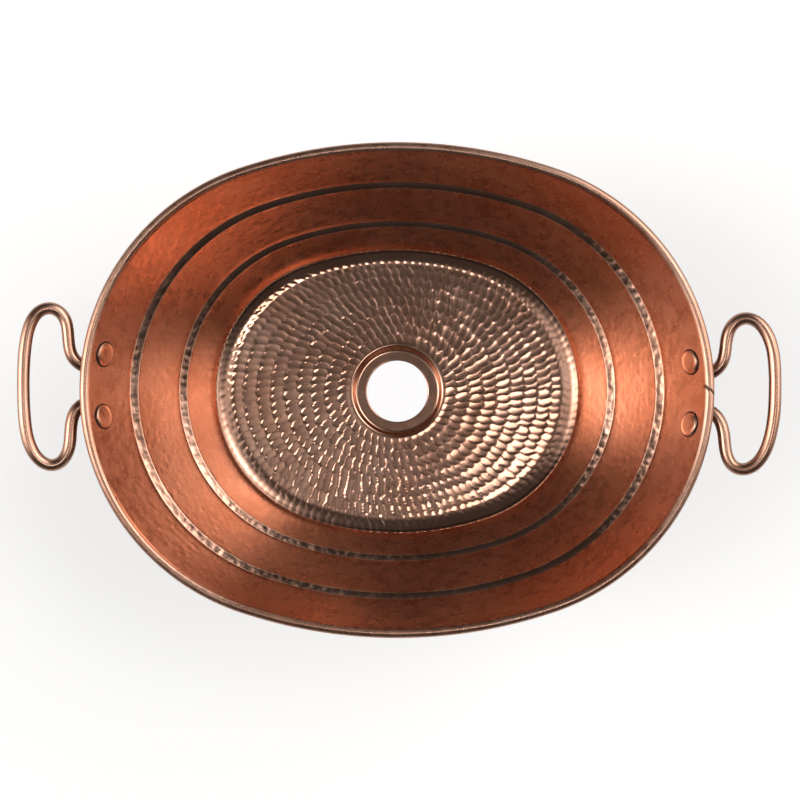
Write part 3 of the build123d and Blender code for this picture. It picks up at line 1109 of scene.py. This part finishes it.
@dataclass
class Rivet:
    """The rivet, by its turned outline from the middle of the head to the middle of the tail, in mm."""

    # Each row is the distance out from the wall's outer face, the radius and the soot and painted shade; the
    # dark skirt under the head's edge is painted shadow.
    outline: tuple[tuple[float, float, float], ...] = (
        (-2.98, 0.5, 0), (-2.97, 2.5, 0), (-2.94, 4.5, 0), (-2.86, 5.9, 0), (-2.72, 6.8, 0), (-2.45, 7.3, 0),
        (-2.05, 7.58, 0.1), (-1.66, 7.62, 0.7), (-1.62, 7.8, 1), (-1.60, 8.5, 1), (-1.1, 8.6, 1), (-1.0, 3, 1),
        (3.2, 3, 1), (3.22, 4.35, 0.8), (3.6, 4.4, 0.3), (4.2, 4.0, 0), (4.6, 3.2, 0), (4.85, 2.0, 0),
        (4.95, 0.5, 0))
    around: int = 48
    finish: Copper = DrawnCopper("copper_rivet", roughness=0.28, marked=True)

    def build(self) -> list[bpy.types.Object]:
        """Turns one rivet, and copies it to the seat of each packed one.

        Returns:
            The four rivets.
        """
        x, y, z = Matrix.Identity(3)
        slices = [Slice(z * (away * MM), x * (radius * MM), y * (radius * MM), soot_and_shade_tone)
                  for away, radius, soot_and_shade_tone in self.outline]
        bar = Bar("turned_rivet", slices[0], self.around)
        for slice_ in slices[1:]:
            bar.draw(slice_)
        model = bar.leave()
        model.data.materials.append(self.finish.build())
        rivets = [self._copy(model, name) for name in sorted(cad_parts) if name.startswith("rivet")]
        bpy.data.meshes.remove(model.data)
        return rivets

    def _copy(self, model: bpy.types.Object, name: str) -> bpy.types.Object:
        """Makes the rivet that stands for a packed one.

        Args:
            model: The rivet at the origin.
            name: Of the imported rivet.

        Returns:
            The new rivet, with its own mesh.
        """
        low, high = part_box(name)
        side = Side.RIGHT if low[0] > 0 else Side.LEFT
        rivet = model.copy()
        rivet.data = model.data.copy()
        rivet.name = rivet.data.name = "turned_" + name
        bpy.context.collection.objects.link(rivet)
        rivet.data.transform(Seat.at(side, (low[1] + high[1]) / 2).place())
        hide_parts(name)
        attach(rivet, ROOT)
        return rivet


@dataclass
class Handle:
    """One handle, bent from a single rod whose two ends are flattened against the wall. Sizes are in mm."""

    side: Side
    # Where the rod's middle goes, as (out from the middle of the basin, across it), between the two feet.
    bends: tuple[tuple[float, float], ...]
    # Each row is how far past its rivet, half the thickness, half the width and how far it stands off.
    foot: tuple[tuple[float, float, float, float], ...] = (
        (8.5, 1.6, 4.6, 0.0), (5.5, 1.6, 5.7, 0.0), (0.0, 1.6, 6.0, 0.0), (-4.0, 1.9, 5.9, 0.25),
        (-6.4, 3.0, 5.2, 1.7))
    # Each row is how far past an end, and the share of its size that is left.
    tip: tuple[tuple[float, float], ...] = ((0.9, 0.9), (1.6, 0.7), (2.0, 0.4), (2.1, 0.15))
    stand_off: float = 0.05  # between a foot and the wall
    rod: float = 3.95  # radius
    swell: tuple[float, float] = (0.7, 0.4)  # of the rod beside its feet, level and upright
    swell_start: float = 201.0  # how far out the rod has that swell, and is darkened with soot and painted shade
    swell_run: float = 9.0  # and how much further out it has none
    rise: float = math.radians(11.5)
    rise_start: float = 194.0  # how far out the loop's slope would pass the rivets' level
    fan: float = 142.0  # from where the rod's level direction is measured, inward of the feet
    step: float = 1.5  # between slices
    easing: int = 6  # passes that smooth the line
    waves: int = 40
    wave: float = 0.02  # share by which the rod's thickness wavers
    around: int = 28

    def _knots(self) -> np.ndarray:
        """Lays out the rod's line from foot to foot.

        Returns:
            The place, both half axes, the lean and the dark of soot and painted shade, a row each.
        """
        lean = math.tan(Wall().lean)
        boxes = [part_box(f"rivet_{self.side.name.lower()}_{end}") for end in ("back", "front")]
        levels = sorted((((low[1] + high[1]) / 2) / MM for low, high in boxes), reverse=True)
        feet = []
        for level, way in zip(levels, (1, -1)):
            foot = []
            for beyond, thick, wide, lift in self.foot:
                seat = Seat.at(self.side, (level + way * beyond) * MM)
                spot = seat.middle / MM + seat.out * (thick + lift + self.stand_off)
                # The feet are dark: soot, and shade painted under the rim.
                foot.append((*spot, thick, wide, lean, 1.0))
            feet.append(foot)
        slope = math.tan(self.rise)
        bends = []
        for out, across in self.bends:
            # Near the rim the rod swells and darkens: soot, and shade painted under the rim's overhang.
            near = max(0.0, 1 - (out - self.swell_start) / self.swell_run)
            bends.append((self.side.value * out, across, RIVET_HEIGHT / MM + (out - self.rise_start) * slope,
                          self.rod + self.swell[0] * near**2, self.rod + self.swell[1] * near**2, -slope,
                          near**1.5))
        return np.array([*feet[0], *bends, *feet[1][::-1]])

    def _line(self) -> tuple[np.ndarray, np.ndarray]:
        """Runs a smooth curve through the knots.

        Returns:
            The curve, in rows like the knots', and how far along it each row is.
        """
        knots = self._knots()
        run = np.concatenate([[0], np.cumsum(np.linalg.norm(np.diff(knots[:, :3], axis=0), axis=1))])
        slopes = np.gradient(knots, run, axis=0)
        places = np.linspace(0, run[-1], int(run[-1] / self.step))
        which = np.clip(np.searchsorted(run, places, side="right") - 1, 0, len(run) - 2)
        span = (run[which + 1] - run[which])[:, None]
        t = ((places - run[which]) / span[:, 0])[:, None]
        line = ((2 * t**3 - 3 * t**2 + 1) * knots[which] + (t**3 - 2 * t**2 + t) * span * slopes[which]
                + (3 * t**2 - 2 * t**3) * knots[which + 1] + (t**3 - t**2) * span * slopes[which + 1])
        for _ in range(self.easing):
            line[1:-1] = (line[:-2] + 2 * line[1:-1] + line[2:]) / 4
        return line, places

    def _slices(self) -> list[Slice]:
        """Cuts the rod's line into slices.

        Returns:
            The slices from tip to tip.
        """
        line, places = self._line()
        dice = np.random.default_rng(3 + self.side.value)
        waver = np.interp(places, np.linspace(0, places[-1], self.waves), dice.uniform(-1, 1, self.waves))
        ways = np.gradient(line[:, :3], axis=0)
        slices = []
        for row, way, uneven in zip(line, ways, 1 + self.wave * waver):
            way = Vector(way).normalized()
            out = Vector((self.side.value, row[1] / self.fan, 0)).normalized()
            up = (out * row[5] + Vector((0, 0, 1))).normalized()
            across = way.cross(up).normalized()
            slices.append(Slice(Vector(row[:3]) * MM, across * (row[3] * uneven * MM),
                                across.cross(way) * (row[4] * MM), min(1.0, max(0.0, row[6]))))
        # The tips are dark: soot, and shade painted under the rim.
        ends = []
        for end, way in ((slices[0], -ways[0]), (slices[-1], ways[-1])):
            way = Vector(way).normalized()
            ends.append([Slice(end.middle + way * (step * MM), end.side * size, end.up * size, 1.0)
                         for step, size in self.tip])
        return [*ends[0][::-1], *slices, *ends[1]]

    def build(self, material: bpy.types.Material) -> bpy.types.Object:
        """Draws the handle out along its line.

        Args:
            material: Its finish.

        Returns:
            The handle.
        """
        name = self.side.name.lower()
        slices = self._slices()
        bar = Bar(f"bent_handle_{name}", slices[0], self.around)
        for slice_ in slices[1:]:
            bar.draw(slice_)
        handle = bar.leave()
        handle.data.materials.append(material)
        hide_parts(f"handle_{name}")
        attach(handle, ROOT)
        return handle


@dataclass
class Fittings:
    """The rim's wire, as packed, and the handles with their rivets."""

    wire: Copper = DrawnCopper("copper_wire", roughness=0.35)
    rod: Copper = DrawnCopper("drawn_copper_rod", roughness=0.24, roughness_swing=0.12, marked=True)
    handles: tuple[Handle, ...] = (
        Handle(Side.LEFT, (
            (200.5, 15.4), (205.0, 16.9), (209.2, 20.8), (211.3, 27.0), (212.1, 35.5), (213.6, 45.0),
            (217.3, 50.6), (222.8, 53.0), (228.7, 51.6), (233.6, 46.3), (236.6, 38.3), (238.5, 27.0),
            (239.4, 13.0), (239.5, 0.0), (239.1, -13.0), (238.1, -24.5), (235.8, -34.8), (232.1, -42.2),
            (227.2, -47.0), (222.3, -48.7), (217.0, -46.9), (213.1, -41.9), (211.1, -34.7), (210.6, -27.0),
            (210.0, -20.4), (208.2, -14.3), (204.8, -10.2), (200.5, -8.8))),
        Handle(Side.RIGHT, (
            (200.5, 10.6), (205.0, 12.2), (209.2, 16.0), (211.3, 21.8), (212.2, 30.0), (213.8, 37.8),
            (217.6, 43.6), (224.0, 46.5), (231.0, 44.3), (236.4, 38.1), (239.5, 31.0), (241.2, 23.8),
            (242.1, 13.8), (242.3, 2.0), (242.1, -8.0), (241.5, -17.0), (240.1, -26.0), (238.2, -34.0),
            (235.2, -41.4), (230.4, -47.8), (223.0, -51.4), (216.9, -49.6), (213.2, -43.9), (211.6, -36.5),
            (211.0, -29.0), (209.7, -22.8), (207.4, -17.8), (203.6, -14.4), (200.0, -13.2))))

    def build(self) -> None:
        """Dresses the wire, and builds the handles and rivets."""
        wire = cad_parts["rim_wire"]
        wire.data.materials.clear()
        wire.data.materials.append(self.wire.build())
        report(wire)
        rod = self.rod.build()
        for handle in self.handles:
            report(handle.build(rod))
        for rivet in Rivet().build():
            report(rivet)


# ---- the studio ----
@dataclass(frozen=True)
class Glow:
    """One soft light of the room, far away. Its strength is its radiance, and its angles are in degrees."""

    azimuth: float
    elevation: float
    strength: float
    spread: float  # from its middle to where it has half its strength
    edge: float = 0.0  # from 0, fading away from its middle, to 1, an even disc with a crisp edge

    def add(self, tree: bpy.types.NodeTree, way: bpy.types.NodeSocket,
            before: bpy.types.NodeSocket | float) -> bpy.types.NodeSocket:
        """Adds this light to the sum of those before it.

        Args:
            tree: The room's tree.
            way: The direction looked at.
            before: The sum so far.

        Returns:
            The new sum.
        """
        turn, lift = math.radians(self.azimuth), math.radians(self.elevation)
        middle = (math.cos(turn) * math.cos(lift), math.sin(turn) * math.cos(lift), math.sin(lift))
        near = node(tree, "ShaderNodeVectorMath", {0: way, 1: middle}, operation="DOT_PRODUCT")
        if self.edge:
            blur = (1 - self.edge) * self.spread / 2
            light = node(tree, "ShaderNodeMapRange", {
                "Value": near.outputs["Value"],
                "From Min": math.cos(math.radians(self.spread + blur)),
                "From Max": math.cos(math.radians(self.spread - blur))}, interpolation_type="SMOOTHSTEP")
        else:
            fall = math.log(2) / (1 - math.cos(math.radians(self.spread)))
            power = node(tree, "ShaderNodeMath", {0: near.outputs["Value"], 1: fall, 2: -fall},
                         operation="MULTIPLY_ADD")
            light = node(tree, "ShaderNodeMath", {0: power.outputs[0]}, operation="EXPONENT")
        return node(tree, "ShaderNodeMath", {0: light.outputs[0], 1: self.strength, 2: before},
                    operation="MULTIPLY_ADD").outputs[0]


@dataclass
class Studio:
    """A pale floor in a dim room with broad side lights, and the camera straight above."""

    glows: tuple[Glow, ...] = (
        Glow(182, 50, 3.2, 10),
        Glow(34, 50, 3.3, 11),
        Glow(180, 12, 1.6, 16.5),
        Glow(18, 12, 1.5, 17),
        Glow(54, 27, 1.8, 10),
        Glow(0, 38, 1.7, 10),
        Glow(180, 38, 2.4, 10),
        Glow(316, 80, 3.0, 5.5, 0.8),
        Glow(192, 76, 0.65, 7.5),
        Glow(4, 74, 0.5, 6),
    )
    ceiling: float = 0.045
    backdrop: float = 0.95  # brightness of the room for the camera
    eye: tuple[float, float, float] = (1.95 * MM, -6.37 * MM, 1027 * MM)
    lens: float = 63.5
    board: float = 3.0  # radius of the pale floor
    board_drop: float = 0.2 * MM
    board_fade: tuple[float, float] = (0.9, 2.9)  # from where to where it fades away
    shade: tuple[float, float] = (0.06, 0.13)  # from where to where the shade under the basin ends
    glare: tuple[float, float] = (0.95, 0.6)  # of the board for the camera, in the shade and out of it

    def build(self) -> None:
        """Sets the stage."""
        scene = bpy.context.scene
        scene.view_settings.view_transform = "Standard"
        self._sky(scene)
        self._ground()
        bpy.ops.object.camera_add(location=self.eye, rotation=(0, 0, 0))
        camera = bpy.context.object
        camera.data.lens = self.lens
        camera.data.clip_start = 0.01
        scene.camera = camera

    def _sky(self, scene: bpy.types.Scene) -> None:
        """Hangs the room's lights, and a pale backdrop for the camera.

        Args:
            scene: The scene that gets the room.
        """
        world = bpy.data.worlds.new("room")
        scene.world = world
        world.use_nodes = True
        tree = world.node_tree
        tree.nodes.clear()
        way = node(tree, "ShaderNodeTexCoord").outputs["Generated"]
        total = self.ceiling
        for glow in self.glows:
            total = glow.add(tree, way, total)
        ray = node(tree, "ShaderNodeLightPath").outputs["Is Camera Ray"]
        room = node(tree, "ShaderNodeBackground", {"Color": (1, 1, 1, 1), "Strength": total})
        backdrop = node(tree, "ShaderNodeBackground", {"Color": (1, 1, 1, 1), "Strength": self.backdrop})
        mix = node(tree, "ShaderNodeMixShader", {0: ray, 1: room.outputs[0], 2: backdrop.outputs[0]})
        node(tree, "ShaderNodeOutputWorld", {"Surface": mix.outputs[0]})

    def _ground(self) -> None:
        """The pale floor that the basin stands on, which fades into the backdrop far out."""
        bpy.ops.object.select_all(action="DESELECT")
        bpy.ops.mesh.primitive_circle_add(vertices=96, radius=self.board, fill_type="NGON",
                                          location=(0, 0, -self.board_drop))
        ground = bpy.context.object
        ground.name = "studio_floor"
        material = bpy.data.materials.new("matt_white_board")
        material.use_nodes = True
        tree = material.node_tree
        tree.nodes.clear()
        place = node(tree, "ShaderNodeTexCoord").outputs["Object"]
        far = node(tree, "ShaderNodeVectorMath", {0: place}, operation="LENGTH").outputs["Value"]
        fade = node(tree, "ShaderNodeMapRange", {"Value": far, "From Min": self.board_fade[0],
                                                 "From Max": self.board_fade[1]},
                    interpolation_type="SMOOTHSTEP")
        # The board is overexposed, as a studio sweep is, without throwing more light on the copper.
        # Under the basin it is in deep shade, which the copper mirrors and the open drain doesn't show.
        seen = node(tree, "ShaderNodeLightPath").outputs["Is Camera Ray"]
        shade = node(tree, "ShaderNodeMapRange", {"Value": far, "From Min": self.shade[0],
                                                  "From Max": self.shade[1]})
        glare = node(tree, "ShaderNodeMapRange", {"Value": shade.outputs["Result"],
                                                  "To Min": self.glare[0], "To Max": self.glare[1]})
        glare = node(tree, "ShaderNodeMath", {0: seen, 1: glare.outputs["Result"]}, operation="MULTIPLY")
        paint = node(tree, "ShaderNodeMix", {0: shade.outputs["Result"], 6: linear("#40302A"),
                                             7: linear("#E4E2DF")}, data_type="RGBA")
        board = node(tree, "ShaderNodeBsdfPrincipled", {
            "Base Color": paint.outputs[2], "Roughness": 0.8,
            "Emission Color": (1, 1, 1, 1), "Emission Strength": glare.outputs[0]})
        clear = node(tree, "ShaderNodeBsdfTransparent")
        mix = node(tree, "ShaderNodeMixShader", {0: fade.outputs["Result"], 1: board.outputs[0],
                                                 2: clear.outputs[0]})
        node(tree, "ShaderNodeOutputMaterial", {"Surface": mix.outputs[0]})
        ground.data.materials.append(material)


def report(piece: bpy.types.Object) -> None:
    """Logs a piece and how many triangles it has."""
    log.info("%s: %d triangles", piece.name, sum(len(face.vertices) - 2 for face in piece.data.polygons))


def main() -> None:
    """Builds the basin and its studio."""
    logging.basicConfig(level=logging.INFO, format="%(name)s: %(message)s")
    Studio().build()
    wall = Wall().build()
    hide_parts("tub_wall")
    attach(wall, ROOT)
    report(wall)
    floor = Floor().build()
    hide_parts("floor_pan")
    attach(floor, ROOT)
    report(floor)
    Fittings().build()


if __name__ == "__main__":
    main()
